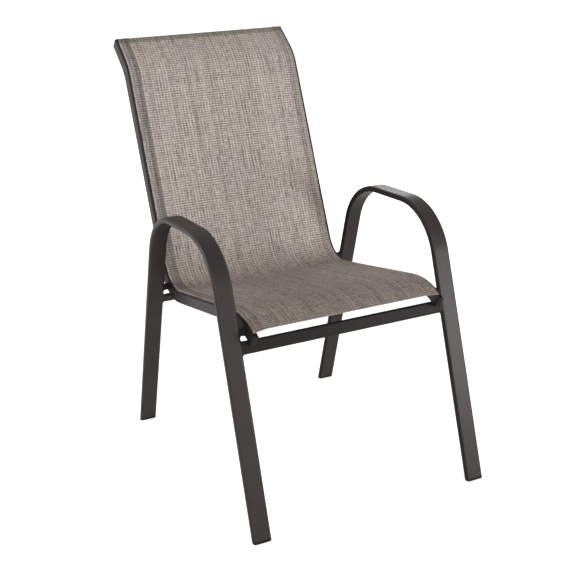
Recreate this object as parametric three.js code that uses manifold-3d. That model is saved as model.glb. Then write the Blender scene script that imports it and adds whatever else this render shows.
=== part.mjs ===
// A stacking patio chair: two bent side frames, two cross tubes, and a fabric sling held
// in a pair of slotted rails. Millimetres, +Z up, the chair faces -Y, +X is its left-hand
// side seen from behind the back, which is the right-hand side seen from the front.
import * as THREE from 'three';
import { mergeVertices } from 'three/addons/utils/BufferGeometryUtils.js';
import Module from 'manifold-3d';

const wasm = await Module();
wasm.setup();

// Driving dimensions, mm and degrees

const overallWidth = 560;
const clearance = 0.3; // between pieces that touch
const cutOverrun = 5; // of a cut past the faces that it opens

// Side frames: flat-oval tube bent to an upside-down U
const frameTubeWidth = 41;
const frameTubeThickness = 13.5;
const frameTubeCorner = 5.5;
const frameTubeWall = 1.2;
const armHeight = 588;
const footSpan = 656.5;
const frontLegAngle = 15.66;
const rearLegAngle = 17.21;
const armBendRadius = 138;

// Foot caps
const footCapHeight = 6;
const footCapRounding = 2.5;
const footPlugLength = 16;

// Cross tubes
const frontTubeHeight = 27.5;
const rearTubeHeight = 19;
const crossTubeDepth = 12.5;
const crossTubeCorner = 5;
const crossTubeWall = 1.2;
const railToFrontTube = 2;
const railToRearTube = 10.6;
const weldSize = 2.5;
const weldSideSpread = 0.25; // over the leg's rounded edge

// Stubs that hold each rail off the legs
const stubHeight = 15;
const frontStubDrop = 4; // below the middle of the rail's side
const stubWeldSpread = 1;

// Sling rails: slotted tube bent to the line of the seat and back
const frameToRailGap = 11.5;
const railWall = 1.2;
const railDepth = 27;
const railCorner = 4;
const railSideRoom = 2.7;
const seatCornerHeight = 375.7;
const seatAngle = 8.8;
const backAngle = 20.6;
const waterfallRadius = 150;
const waterfallAngle = 42.4;
const railFrontReach = 34.9;
const seatBendRadius = 72;
const backFlatLength = 449.2;
const scrollRadius = 110;
const scrollAngle = 28;
const scrollFlatLength = 62;

// Rail end caps
const railCapHeight = 5.5;
const railCapRounding = 1.8;
const railPlugLength = 12;

// Sling
const fabricThickness = 0.8;
const rodDiameter = 5;
const slotSideRoom = 0.7;
const roomUnderHem = 2.4;
const slingFrontSetback = 10;
const slingCornerLength = 3.5;
const slingCornerWidth = 23;
const slingTopOverhang = 3;

// Back spreader
const spreaderDiameter = 14;
const spreaderWall = 1.2;
const spreaderFromTop = 66;
const spreaderFlange = 1.5;
const spreaderPlugLength = 15;
const spreaderPinDiameter = 6;
const spreaderPinLength = 5;

// How far along the tube, and how far out from it, the rings of a weld bead lie
const weldShares = [[0, 1], [0.45, 0.75], [1, 0]];

// Fineness of round stretches: degrees a step, steps a corner, and sides of a whole round
const armStepAngle = 6.2;
const railStepAngle = 7;
const cornerSteps = 4;
const boreCornerSteps = 2;
const roundSides = 16;
const pinSides = 12;
const loopSides = 6;
const settlingRounds = 40;

// Worked out from the driving dimensions

const halfWidth = overallWidth / 2;
const frameCentreX = halfWidth - frameTubeWidth / 2;
const frameInnerX = halfWidth - frameTubeWidth;
const hemLayers = 2 * fabricThickness;
const loopBore = rodDiameter + 2 * clearance;
const loopDiameter = loopBore + 2 * fabricThickness;
const loopDepth = railWall + clearance + loopDiameter / 2;
const loopBottom = loopDepth + loopDiameter / 2;
const railWidth = loopDiameter + 2 * (railSideRoom + railWall);
const railBoreCorner = railCorner - railWall;
const slotWidth = hemLayers + 2 * slotSideRoom;
const railOuterX = frameInnerX - frameToRailGap;
const railX = railOuterX - railWidth / 2;
const railInnerX = railOuterX - railWidth;

const radians = THREE.MathUtils.degToRad;
const quarterTurn = Math.PI / 2;

// Outlines

// A rectangle with round corners, as points round its centre.
function roundedRectangle(width, height, corner, steps, centreY = 0) {
  const radius = Math.min(corner, width / 2, height / 2);
  const points = [];
  for (const [quarter, [sideX, sideY]] of [[1, 1], [-1, 1], [-1, -1], [1, -1]].entries()) {
    for (let step = 0; step <= steps; step += 1) {
      const angle = (quarter + step / steps) * quarterTurn;
      points.push(new THREE.Vector2(
        sideX * (width / 2 - radius) + radius * Math.cos(angle),
        centreY + sideY * (height / 2 - radius) + radius * Math.sin(angle),
      ));
    }
  }
  return points;
}

function circle(diameter, sides, centreX = 0, centreY = 0) {
  return Array.from({ length: sides }, (unused, index) => {
    const angle = (2 * Math.PI * (index + 0.5)) / sides;
    const radius = diameter / 2;
    return new THREE.Vector2(centreX + radius * Math.cos(angle), centreY + radius * Math.sin(angle));
  });
}

function shapeOf(outline, ...holes) {
  const shape = new THREE.Shape(outline);
  shape.holes = holes.map((hole) => new THREE.Path(hole));
  return shape;
}

// Paths in the YZ plane

// A path given station by station. A section swept along it keeps its x along +X, and its
// y points to the right of the way the path runs: down from a seat, in from a side frame.
class StationPath extends THREE.Curve {
  constructor(stations, x) {
    super();
    this.stations = stations;
    this.x = x;
  }

  station(u) {
    return this.stations[Math.round(u * (this.stations.length - 1))];
  }

  getPointAt(u) {
    const { y, z } = this.station(u);
    return new THREE.Vector3(this.x, y, z);
  }

  computeFrenetFrames(segments) {
    const frames = { tangents: [], normals: [], binormals: [] };
    for (let index = 0; index <= segments; index += 1) {
      const { heading } = this.station(index / segments);
      frames.tangents.push(new THREE.Vector3(0, Math.cos(heading), Math.sin(heading)));
      frames.normals.push(new THREE.Vector3(1, 0, 0));
      frames.binormals.push(new THREE.Vector3(0, Math.sin(heading), -Math.cos(heading)));
    }
    return frames;
  }
}

// Walks straight runs and arcs from a point; a positive turn is to the left of the way.
function walk(start, heading, moves, degreesPerStep) {
  const stations = [{ ...start, heading, along: 0 }];
  for (const { length = 0, radius = 0, turn = 0 } of moves) {
    const steps = turn === 0 ? 1 : Math.max(1, Math.round(Math.abs(turn) / degreesPerStep));
    const from = stations.at(-1);
    const side = Math.sign(turn);
    for (let step = 1; step <= steps; step += 1) {
      if (turn === 0) {
        stations.push({
          y: from.y + length * Math.cos(from.heading),
          z: from.z + length * Math.sin(from.heading),
          heading: from.heading,
          along: from.along + length,
        });
      } else {
        const turned = (radians(Math.abs(turn)) * step) / steps;
        const next = from.heading + side * turned;
        stations.push({
          y: from.y + side * radius * (Math.sin(next) - Math.sin(from.heading)),
          z: from.z - side * radius * (Math.cos(next) - Math.cos(from.heading)),
          heading: next,
          along: from.along + radius * turned,
        });
      }
    }
  }
  return stations;
}

// The station a given way along a path, on the straight line between its neighbours.
function stationAt(stations, along) {
  const after = Math.max(1, stations.findIndex((station) => station.along >= along));
  const [a, b] = [stations[after - 1], stations[after]];
  const share = (along - a.along) / (b.along - a.along);
  return {
    y: THREE.MathUtils.lerp(a.y, b.y, share),
    z: THREE.MathUtils.lerp(a.z, b.z, share),
    heading: THREE.MathUtils.lerp(a.heading, b.heading, share),
    along,
  };
}

// The part of a path between two places along it, run on straight past its last station.
function stretch(stations, from, to) {
  const inside = stations.filter(({ along }) => along > from && along < to);
  const last = stations.at(-1);
  const beyond = to - last.along;
  const end = beyond < 0 ? stationAt(stations, to) : {
    ...last,
    y: last.y + beyond * Math.cos(last.heading),
    z: last.z + beyond * Math.sin(last.heading),
    along: to,
  };
  return [stationAt(stations, from), ...inside.filter(({ along }) => along < last.along), end];
}

// A point at some depth to the right of a station.
function below({ y, z, heading }, depth) {
  return { y: y + depth * Math.sin(heading), z: z - depth * Math.cos(heading) };
}

// Height at a place y of the line that runs at some depth below a path.
function heightAt(stations, y, depth) {
  const line = stations.map((station) => below(station, depth));
  const after = Math.min(line.length - 1, Math.max(1, line.findIndex((point) => point.y >= y)));
  const [a, b] = [line[after - 1], line[after]];
  return a.z + ((b.z - a.z) * (y - a.y)) / (b.y - a.y);
}

// Solids

function sweep(shape, stations, x) {
  const extrudePath = new StationPath(stations, x);
  return new THREE.ExtrudeGeometry(shape, { steps: stations.length - 1, extrudePath });
}

// A section run along +X between two places; its x lies along Y and its y along Z.
function alongX(shape, from, to) {
  const geometry = new THREE.ExtrudeGeometry(shape, { depth: to - from, bevelEnabled: false });
  const toWorld = new THREE.Matrix4().makeBasis(
    new THREE.Vector3(0, 1, 0),
    new THREE.Vector3(0, 0, 1),
    new THREE.Vector3(1, 0, 0),
  );
  return geometry.applyMatrix4(toWorld.setPosition(from, 0, 0));
}

// A closed skin over rings of as many points, flat at both ends.
function loft(rings) {
  const count = rings[0].length;
  const centres = [rings[0], rings.at(-1)].map((ring) => ring
    .reduce((sum, point) => sum.add(point), new THREE.Vector3())
    .divideScalar(count));
  const positions = [...rings.flat(), ...centres].flatMap((point) => point.toArray());
  const bottomCentre = rings.length * count;
  const index = [];
  for (let side = 0; side < count; side += 1) {
    const next = (side + 1) % count;
    for (let level = 0; level < rings.length - 1; level += 1) {
      const [low, high] = [level * count, (level + 1) * count];
      index.push(low + side, low + next, high + next, low + side, high + next, high + side);
    }
    const top = (rings.length - 1) * count;
    index.push(bottomCentre, next, side, bottomCentre + 1, top + side, top + next);
  }
  const geometry = new THREE.BufferGeometry();
  geometry.setAttribute('position', new THREE.Float32BufferAttribute(positions, 3));
  geometry.setIndex(index);
  return geometry;
}

// A block between two opposite corners.
function block(low, high) {
  const size = new THREE.Vector3().subVectors(high, low);
  const middle = new THREE.Vector3().addVectors(low, high).multiplyScalar(1 / 2);
  return new THREE.BoxGeometry(size.x, size.y, size.z).translate(middle.x, middle.y, middle.z);
}

function cylinderBetween(from, to, diameter, sides) {
  const axis = new THREE.Vector3().subVectors(to, from);
  const geometry = new THREE.CylinderGeometry(diameter / 2, diameter / 2, axis.length(), sides);
  const turn = new THREE.Quaternion().setFromUnitVectors(new THREE.Vector3(0, 1, 0), axis.normalize());
  const middle = new THREE.Vector3().addVectors(from, to).multiplyScalar(1 / 2);
  return geometry.applyQuaternion(turn).translate(middle.x, middle.y, middle.z);
}

// Joining and cutting

function solidOf(geometry) {
  const bare = geometry.clone();
  bare.deleteAttribute('normal');
  bare.deleteAttribute('uv');
  const merged = mergeVertices(bare, clearance / 1000);
  return new wasm.Manifold(new wasm.Mesh({
    numProp: 3,
    vertProperties: new Float32Array(merged.attributes.position.array),
    triVerts: new Uint32Array(merged.index.array),
  }));
}

function geometryOf(solid) {
  const { vertProperties, triVerts } = solid.getMesh();
  const geometry = new THREE.BufferGeometry();
  geometry.setAttribute('position', new THREE.BufferAttribute(vertProperties, 3));
  geometry.setIndex(new THREE.BufferAttribute(triVerts, 1));
  return geometry;
}

function cut(geometry, cutters) {
  return geometryOf(cutters.reduce((solid, cutter) => solid.subtract(solidOf(cutter)), solidOf(geometry)));
}

function join(geometries) {
  return geometryOf(geometries.map(solidOf).reduce((whole, piece) => whole.add(piece)));
}

// Materials

function finish(color, roughness, metalness) {
  return () => new THREE.MeshStandardMaterial({ color, roughness, metalness });
}

const paint = finish(0x3b3836, 0.5, 0.3);
const fabric = finish(0x97897a, 0.9, 0);
const blackPlastic = finish(0x1d1c1b, 0.55, 0);
const rodPlastic = finish(0x4a4744, 0.6, 0);

const chair = new THREE.Group();

function add(name, geometry, material) {
  const mesh = new THREE.Mesh(geometry, material());
  mesh.name = name;
  chair.add(mesh);
}

const sides = [['left', -1], ['right', 1]];

// Lines of the side frame and the rail

// Each leg's outer face at the floor, and how it leans towards the other leg.
const legs = [
  { name: 'front', lean: radians(frontLegAngle), foot: 0, side: 1 },
  { name: 'rear', lean: radians(rearLegAngle), foot: footSpan, side: -1 },
];

function legCentre({ lean, foot, side }, z) {
  return foot + side * (z * Math.tan(lean) + frameTubeThickness / 2 / Math.cos(lean));
}

const frontLegHeading = radians(90 - frontLegAngle);
const rearLegHeading = radians(rearLegAngle - 90);

// The outer face of the side frame: up the front leg, over the arm and down the rear leg.
function sideFrameStations() {
  const front = radians(frontLegAngle);
  const rear = radians(rearLegAngle);
  const cornerRun = (lean) => armBendRadius * Math.tan((quarterTurn - lean) / 2);
  const legLength = (lean) => armHeight / Math.cos(lean) - cornerRun(lean);
  const armLength = footSpan - armHeight * (Math.tan(front) + Math.tan(rear))
    - cornerRun(front) - cornerRun(rear);
  return walk({ y: 0, z: 0 }, frontLegHeading, [
    { length: legLength(front) },
    { radius: armBendRadius, turn: frontLegAngle - 90 },
    { length: armLength },
    { radius: armBendRadius, turn: rearLegAngle - 90 },
    { length: legLength(rear) },
  ], armStepAngle);
}

// The upper face of the rail, from its front tip to the top of the back. The lines of seat
// and back meet on the rear leg, and the tip reaches out past the front leg.
function railStations() {
  const [frontLeg, rearLeg] = legs;
  const bendAngle = 90 - backAngle + seatAngle;
  const seat = -radians(seatAngle);
  const tip = radians(waterfallAngle) + seat;
  const cornerRun = seatBendRadius * Math.tan(radians(bendAngle / 2));
  const waterfall = walk({ y: 0, z: 0 }, tip, [
    { radius: waterfallRadius, turn: -waterfallAngle },
    { length: cornerRun },
  ], railStepAngle).at(-1);
  const shortTip = {
    y: legCentre(rearLeg, seatCornerHeight) - waterfall.y,
    z: seatCornerHeight - waterfall.z,
  };
  const shortBy = shortTip.y - legCentre(frontLeg, shortTip.z) + railFrontReach;
  const seatFlatLength = shortBy / (Math.cos(seat) - Math.sin(seat) * Math.tan(frontLeg.lean));
  const start = {
    y: shortTip.y - seatFlatLength * Math.cos(seat),
    z: shortTip.z - seatFlatLength * Math.sin(seat),
  };
  return walk(start, tip, [
    { radius: waterfallRadius, turn: -waterfallAngle },
    { length: seatFlatLength },
    { radius: seatBendRadius, turn: bendAngle },
    { length: backFlatLength },
    { radius: scrollRadius, turn: -scrollAngle },
    { length: scrollFlatLength },
  ], railStepAngle);
}

const sideFrameLine = sideFrameStations();
const railLine = railStations();
const railLength = railLine.at(-1).along;

// Side frames

const frameSection = shapeOf(
  roundedRectangle(frameTubeWidth, frameTubeThickness, frameTubeCorner, cornerSteps,
    frameTubeThickness / 2),
  roundedRectangle(frameTubeWidth - 2 * frameTubeWall, frameTubeThickness - 2 * frameTubeWall,
    frameTubeCorner - frameTubeWall, boreCornerSteps, frameTubeThickness / 2),
);

// Everything below the level where the foot caps' heads meet the tube.
function footCutter() {
  const beyond = frameTubeThickness + cutOverrun;
  return block(
    new THREE.Vector3(-halfWidth - cutOverrun, -beyond, -beyond),
    new THREE.Vector3(halfWidth + cutOverrun, footSpan + beyond, footCapHeight + clearance),
  );
}

function sideFrame(side) {
  return cut(sweep(frameSection, sideFrameLine, side * frameCentreX), [footCutter()]);
}

for (const [name, side] of sides) {
  add(`side_frame_${name}`, sideFrame(side), paint);
}

// Foot caps: a head under the tube, flat on the floor, and a plug up its bore

function footCap(leg, side) {
  const flatThickness = frameTubeThickness / Math.cos(leg.lean);
  const boreInset = frameTubeWall + clearance;
  const levels = [
    [0, footCapRounding],
    [footCapRounding * (1 - Math.SQRT1_2), footCapRounding * (1 - Math.SQRT1_2)],
    [footCapRounding, 0],
    [footCapHeight, 0],
    [footCapHeight, boreInset],
    [footCapHeight + footPlugLength, boreInset],
  ];
  return loft(levels.map(([z, inset]) => roundedRectangle(
    frameTubeWidth - 2 * inset,
    flatThickness - 2 * inset / Math.cos(leg.lean),
    frameTubeCorner - inset / 2,
    boreCornerSteps,
    legCentre(leg, z),
  ).map(({ x, y }) => new THREE.Vector3(side * frameCentreX + x, y, z))));
}

for (const leg of legs) {
  for (const [name, side] of sides) {
    add(`foot_cap_${leg.name}_${name}`, footCap(leg, side), blackPlastic);
  }
}

// Cross tubes, set under the rails, and the stubs that hold the rails, all welded to the legs

// The place of a piece on the leg's centre line, with its middle so far below the rail's
// upper face.
function placeOnLeg(leg, depth, drop) {
  let z = seatCornerHeight;
  let y = 0;
  for (let round = 0; round < settlingRounds; round += 1) {
    y = legCentre(leg, z);
    z = heightAt(railLine, y, depth) - drop;
  }
  return { y, z };
}

const [frontLegLine, rearLegLine] = legs;

const crossTubes = [
  { name: 'front', leg: frontLegLine, height: frontTubeHeight, railToTube: railToFrontTube },
  { name: 'rear', leg: rearLegLine, height: rearTubeHeight, railToTube: railToRearTube },
].map((tube) => ({ ...tube, ...placeOnLeg(tube.leg, railDepth, tube.railToTube + tube.height / 2) }));

const railStubs = [[frontLegLine, frontStubDrop], [rearLegLine, 0]].map(([leg, drop]) => (
  { name: leg.name, leg, height: stubHeight, ...placeOnLeg(leg, railDepth / 2, drop) }));

// The outline of a piece on the leg, which leans with it; wider and taller by a spread all round.
function leaningOutline({ leg, height, y, z }, sideSpread, endSpread, corner, steps) {
  const [along, across] = [Math.cos(leg.lean), leg.side * Math.sin(leg.lean)];
  return roundedRectangle(crossTubeDepth + 2 * sideSpread, height + 2 * endSpread, corner, steps)
    .map((point) => new THREE.Vector2(
      y + point.x * along + point.y * across,
      z - point.x * across + point.y * along,
    ));
}

// Where a leg's rounded edge has fallen away by the side of a welded piece.
const edgeReach = crossTubeDepth / 2 + weldSideSpread - (frameTubeThickness / 2 - frameTubeCorner);
const weldedEnd = frameInnerX + frameTubeCorner - Math.sqrt(frameTubeCorner ** 2 - edgeReach ** 2);

// A skin over outlines at places along X, given from the middle of the chair outwards.
function skinAlongX(side, levels) {
  const rings = levels.map(([x, ring]) => ring.map((point) => new THREE.Vector3(side * x, point.x, point.y)));
  return loft(side > 0 ? rings : rings.reverse());
}

// The weld bead round the end of a piece that meets the leg.
function legWeld(piece, side) {
  const ring = (share) => leaningOutline(piece, weldSideSpread * share, weldSize * share,
    crossTubeCorner, cornerSteps);
  return skinAlongX(side, [
    ...[...weldShares].reverse()
      .map(([outShare, growShare]) => [frameInnerX - weldSize * outShare, ring(growShare)]),
    [weldedEnd, ring(1)],
  ]);
}

// The side frame's outer skin and the clearance round it.
function legCutter(side) {
  const grown = shapeOf(roundedRectangle(frameTubeWidth + 2 * clearance,
    frameTubeThickness + 2 * clearance, frameTubeCorner + clearance, cornerSteps,
    frameTubeThickness / 2));
  return sweep(grown, sideFrameLine, side * frameCentreX);
}

function crossTube(tube) {
  const outer = leaningOutline(tube, 0, 0, crossTubeCorner, cornerSteps);
  const bore = leaningOutline(tube, -crossTubeWall, -crossTubeWall,
    crossTubeCorner - crossTubeWall, boreCornerSteps);
  const body = join([
    alongX(shapeOf(outer), -weldedEnd, weldedEnd),
    ...sides.map(([, side]) => legWeld(tube, side)),
  ]);
  const boreEnd = weldedEnd + cutOverrun;
  return cut(body, [
    alongX(shapeOf(bore), -boreEnd, boreEnd),
    ...sides.map(([, side]) => legCutter(side)),
  ]);
}

for (const tube of crossTubes) {
  add(`${tube.name}_cross_tube`, crossTube(tube), paint);
}

// A short bar from the leg's edge to the side of the rail, with a weld bead at each end.
function railStub(stub, side) {
  const seat = railOuterX + clearance;
  const ring = (share) => leaningOutline(stub, stubWeldSpread * share, stubWeldSpread * share,
    crossTubeCorner, cornerSteps);
  const railWeld = weldShares
    .map(([outShare, growShare]) => [seat + weldSize * outShare, ring(growShare)]);
  const bar = skinAlongX(side, [...railWeld, [frameInnerX - weldSize, ring(0)], [weldedEnd, ring(0)]]);
  const body = join([bar, legWeld(stub, side)]);
  return cut(body, [legCutter(side)]);
}

for (const stub of railStubs) {
  for (const [name, side] of sides) {
    add(`${stub.name}_rail_stub_${name}`, railStub(stub, side), paint);
  }
}

// Sling rails

// The slotted section: an outer skin, a bore, and the slot through the upper wall.
function railSection() {
  const outer = roundedRectangle(railWidth, railDepth, railCorner, cornerSteps, railDepth / 2);
  const bore = roundedRectangle(railWidth - 2 * railWall, railDepth - 2 * railWall,
    railBoreCorner, boreCornerSteps, railDepth / 2);
  const upper = (points) => points.findIndex(({ y }, index) => {
    const next = points[(index + 1) % points.length];
    return y < railDepth / 2 && next.y < railDepth / 2 && Math.abs(next.x - points[index].x) > slotWidth;
  });
  const fromSlot = (points) => {
    const first = upper(points) + 1;
    return [...points.slice(first), ...points.slice(0, first)];
  };
  const half = slotWidth / 2;
  return shapeOf([
    new THREE.Vector2(half, 0),
    ...fromSlot(outer),
    new THREE.Vector2(-half, 0),
    new THREE.Vector2(-half, railWall),
    ...fromSlot(bore).reverse(),
    new THREE.Vector2(half, railWall),
  ]);
}

const spreaderDepth = (loopBottom + railDepth - railWall) / 2;
const spreaderStation = stationAt(railLine, railLength - spreaderFromTop);
const spreaderCentre = below(spreaderStation, spreaderDepth);

function rail(side) {
  const pinHole = cylinderBetween(
    new THREE.Vector3(side * (railInnerX - cutOverrun), spreaderCentre.y, spreaderCentre.z),
    new THREE.Vector3(side * railX, spreaderCentre.y, spreaderCentre.z),
    spreaderPinDiameter + 2 * clearance,
    pinSides,
  );
  return cut(sweep(railSection(), railLine, side * railX), [pinHole]);
}

for (const [name, side] of sides) {
  add(`sling_rail_${name}`, rail(side), paint);
}

// Rail end caps: a rounded head over the end, and a plug in the bore below the hem

// The end's place, and the way out of it: forward at the tip, up at the top.
const railEnds = [
  { name: 'front', station: railLine[0], way: -1 },
  { name: 'top', station: railLine.at(-1), way: 1 },
];

function railEndCap({ station, way }, side) {
  const { y, z, heading } = station;
  const boreFloor = railDepth - railWall - clearance;
  const plugTop = loopBottom + roomUnderHem;
  const full = (inset) => roundedRectangle(railWidth - 2 * inset, railDepth - 2 * inset,
    railCorner - inset / 2, boreCornerSteps, railDepth / 2);
  const plug = roundedRectangle(railWidth - 2 * (railWall + clearance), boreFloor - plugTop,
    railBoreCorner, boreCornerSteps, (boreFloor + plugTop) / 2);
  const rings = [
    [-railPlugLength, plug],
    [clearance, plug],
    [clearance, full(0)],
    [railCapHeight - railCapRounding, full(0)],
    [railCapHeight - railCapRounding * (1 - Math.SQRT1_2), full(railCapRounding * (1 - Math.SQRT1_2))],
    [railCapHeight, full(railCapRounding)],
  ].map(([out, ring]) => ring.map((point) => new THREE.Vector3(
    side * railX + point.x,
    y + way * out * Math.cos(heading) + point.y * Math.sin(heading),
    z + way * out * Math.sin(heading) - point.y * Math.cos(heading),
  )));
  return loft(way > 0 ? rings : rings.reverse());
}

for (const end of railEnds) {
  for (const [name, side] of sides) {
    add(`rail_cap_${end.name}_${name}`, railEndCap(end, side), blackPlastic);
  }
}

// Sling and the rods in its hems

const cornerFront = slingFrontSetback - slingCornerLength;
const slingLine = stretch(railLine, cornerFront, railLength + slingTopOverhang);
const rodLine = stretch(railLine, cornerFront, railLength);
// The sling's section: a loop round each rod, up through the slots and across between them.
function slingSection() {
  const top = -clearance - fabricThickness;
  const neck = Math.asin(hemLayers / loopDiameter);
  const loopPoints = (side) => Array.from({ length: loopSides + 1 }, (unused, index) => {
    const angle = radians(-90) + neck + (2 * (Math.PI - neck) * index) / loopSides;
    const radius = loopDiameter / 2;
    return new THREE.Vector2(side * railX + radius * Math.cos(angle), loopDepth + radius * Math.sin(angle));
  });
  const outline = [
    new THREE.Vector2(-railX - hemLayers / 2, top),
    new THREE.Vector2(railX + hemLayers / 2, top),
    ...loopPoints(1),
    new THREE.Vector2(railX - hemLayers / 2, -clearance),
    new THREE.Vector2(-railX + hemLayers / 2, -clearance),
    ...loopPoints(-1),
  ];
  const bores = sides.map(([, side]) => circle(loopBore, loopSides, side * railX, loopDepth));
  return shapeOf(outline, ...bores);
}

// The cut that leaves the front edge set back between the two corners.
function frontEdgeCutter() {
  const edge = stationAt(railLine, slingFrontSetback);
  const corner = stationAt(railLine, cornerFront);
  const ahead = corner.y - (edge.y - corner.y);
  const halfEdge = railInnerX - slingCornerWidth;
  const plan = shapeOf([
    new THREE.Vector2(-halfEdge, edge.y),
    new THREE.Vector2(-railInnerX - slingCornerWidth, ahead),
    new THREE.Vector2(railInnerX + slingCornerWidth, ahead),
    new THREE.Vector2(halfEdge, edge.y),
  ]);
  return new THREE.ExtrudeGeometry(plan, { depth: armHeight, bevelEnabled: false });
}

// The cut that ends the fabric at the rail's end, so that only the middle runs past it.
function topCornerCutter(side) {
  const end = railLine.at(-1);
  const middle = side * (railX - clearance);
  return block(
    new THREE.Vector3(middle - railWidth / 2, 0, -railDepth),
    new THREE.Vector3(middle + railWidth / 2, slingTopOverhang + cutOverrun, railDepth),
  )
    .rotateX(end.heading)
    .translate(0, end.y, end.z);
}

function sling() {
  const cloth = sweep(slingSection(), slingLine, 0);
  return cut(cloth, [frontEdgeCutter(), ...sides.map(([, side]) => topCornerCutter(side))]);
}

add('sling', sling(), fabric);

for (const [name, side] of sides) {
  const section = shapeOf(circle(rodDiameter, loopSides, 0, loopDepth));
  add(`hem_rod_${name}`, sweep(section, rodLine, side * railX), rodPlastic);
}

// Back spreader: a round tube between the rails, on a plug at each end with a pin in the rail

const spreaderEnd = railInnerX - 2 * clearance - spreaderFlange;

function spreaderTube() {
  const { y, z } = spreaderCentre;
  const section = shapeOf(
    circle(spreaderDiameter, roundSides, y, z),
    circle(spreaderDiameter - 2 * spreaderWall, roundSides, y, z),
  );
  return alongX(section, -spreaderEnd, spreaderEnd);
}

function spreaderPlug(side) {
  const boreFlat = Math.cos(Math.PI / roundSides);
  const plugRadius = (spreaderDiameter / 2 - spreaderWall) * boreFlat - clearance;
  const flange = spreaderEnd + clearance;
  const profile = [
    [0, flange - spreaderPlugLength],
    [plugRadius, flange - spreaderPlugLength],
    [plugRadius, flange],
    [spreaderDiameter / 2, flange],
    [spreaderDiameter / 2, flange + spreaderFlange],
    [spreaderPinDiameter / 2, flange + spreaderFlange],
    [spreaderPinDiameter / 2, flange + spreaderFlange + spreaderPinLength],
    [0, flange + spreaderFlange + spreaderPinLength],
  ].map(([radius, out]) => new THREE.Vector2(radius, out));
  return new THREE.LatheGeometry(profile, pinSides)
    .rotateZ(radians(side * -90))
    .translate(0, spreaderCentre.y, spreaderCentre.z);
}

add('back_spreader_tube', spreaderTube(), paint);

for (const [name, side] of sides) {
  add(`spreader_plug_${name}`, spreaderPlug(side), blackPlastic);
}

// The origin is on the floor, midway between the chair's front and back

const depthBounds = new THREE.Box3().setFromObject(chair);
chair.position.y = -(depthBounds.min.y + depthBounds.max.y) / 2;
chair.updateMatrixWorld(true);

export default chair;
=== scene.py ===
import bpy, bmesh, math, random
from mathutils import Matrix, Vector


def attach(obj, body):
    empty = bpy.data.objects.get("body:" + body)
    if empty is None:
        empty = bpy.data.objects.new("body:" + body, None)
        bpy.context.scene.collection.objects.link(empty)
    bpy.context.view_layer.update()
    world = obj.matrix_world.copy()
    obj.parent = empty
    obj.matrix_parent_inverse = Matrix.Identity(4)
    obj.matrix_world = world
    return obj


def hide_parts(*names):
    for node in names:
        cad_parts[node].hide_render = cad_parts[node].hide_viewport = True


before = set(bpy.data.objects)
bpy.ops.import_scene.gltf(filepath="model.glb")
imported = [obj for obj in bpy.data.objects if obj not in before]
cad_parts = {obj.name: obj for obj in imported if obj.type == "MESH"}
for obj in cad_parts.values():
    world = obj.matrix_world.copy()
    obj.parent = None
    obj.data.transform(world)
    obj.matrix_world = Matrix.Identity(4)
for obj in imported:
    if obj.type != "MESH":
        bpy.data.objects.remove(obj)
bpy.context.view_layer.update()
mm = 0.001
radians = math.radians

# the camera, at the photograph's angle

view = {
    "place": (-1.03125, -2.00122, 1.13044),
    "turn": 23.716,  # degrees from +Y towards +X
    "tilt": -16.385,
    "roll": -2.652,
    "lens": 64.44,
    "shift": (0.1172, -0.0579),
}


def makeCamera():
    turn, tilt, roll = (radians(view[name]) for name in ("turn", "tilt", "roll"))
    ahead = Vector((math.sin(turn) * math.cos(tilt), math.cos(turn) * math.cos(tilt), math.sin(tilt)))
    level = ahead.cross(Vector((0, 0, 1))).normalized()
    rise = level.cross(ahead)
    right = level * math.cos(roll) + rise * math.sin(roll)
    up = rise * math.cos(roll) - level * math.sin(roll)
    camera = bpy.data.objects.new("camera", bpy.data.cameras.new("camera"))
    camera.data.lens = view["lens"]
    camera.data.shift_x, camera.data.shift_y = view["shift"]
    turned = Matrix((right, up, -ahead)).transposed().to_4x4()
    camera.matrix_world = Matrix.Translation(view["place"]) @ turned
    bpy.context.collection.objects.link(camera)
    bpy.context.scene.camera = camera


makeCamera()
print("camera placed")

# finishes


def tone(red, green, blue):
    # a colour as a picture editor shows it, 0 to 255, for a shader
    return tuple((c / 12.92 if c <= 0.04045 else ((c + 0.055) / 1.055) ** 2.4)
                 for c in (red / 255, green / 255, blue / 255)) + (1.0,)


class Value:
    # a shader socket that can be used in sums
    def __init__(self, finish, socket):
        self.finish = finish
        self.socket = socket

    def maths(self, operation, *values):
        return self.finish.node("ShaderNodeMath", {"operation": operation}, dict(enumerate(values)))

    def __add__(self, other):
        return self.maths("ADD", self, other)

    def __radd__(self, other):
        return self.maths("ADD", other, self)

    def __sub__(self, other):
        return self.maths("SUBTRACT", self, other)

    def __rsub__(self, other):
        return self.maths("SUBTRACT", other, self)

    def __mul__(self, other):
        return self.maths("MULTIPLY", self, other)

    def __rmul__(self, other):
        return self.maths("MULTIPLY", other, self)

    def __truediv__(self, other):
        return self.maths("DIVIDE", self, other)

    def __rtruediv__(self, other):
        return self.maths("DIVIDE", other, self)

    def __gt__(self, other):
        return self.maths("GREATER_THAN", self, other)

    def __abs__(self):
        return self.maths("ABSOLUTE", self)

    def floor(self):
        return self.maths("FLOOR", self)

    def fract(self):
        return self.maths("FRACT", self)

    def sin(self):
        return self.maths("SINE", self)

    def most(self, other):
        return self.maths("MAXIMUM", self, other)

    def between(self, low, high, start=0.0, end=1.0):
        # low..high of this value becomes start..end, eased and clamped
        sockets = {"Value": self, "From Min": low, "From Max": high, "To Min": start, "To Max": end}
        return self.finish.node("ShaderNodeMapRange", {"interpolation_type": "SMOOTHSTEP"}, sockets)


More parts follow.
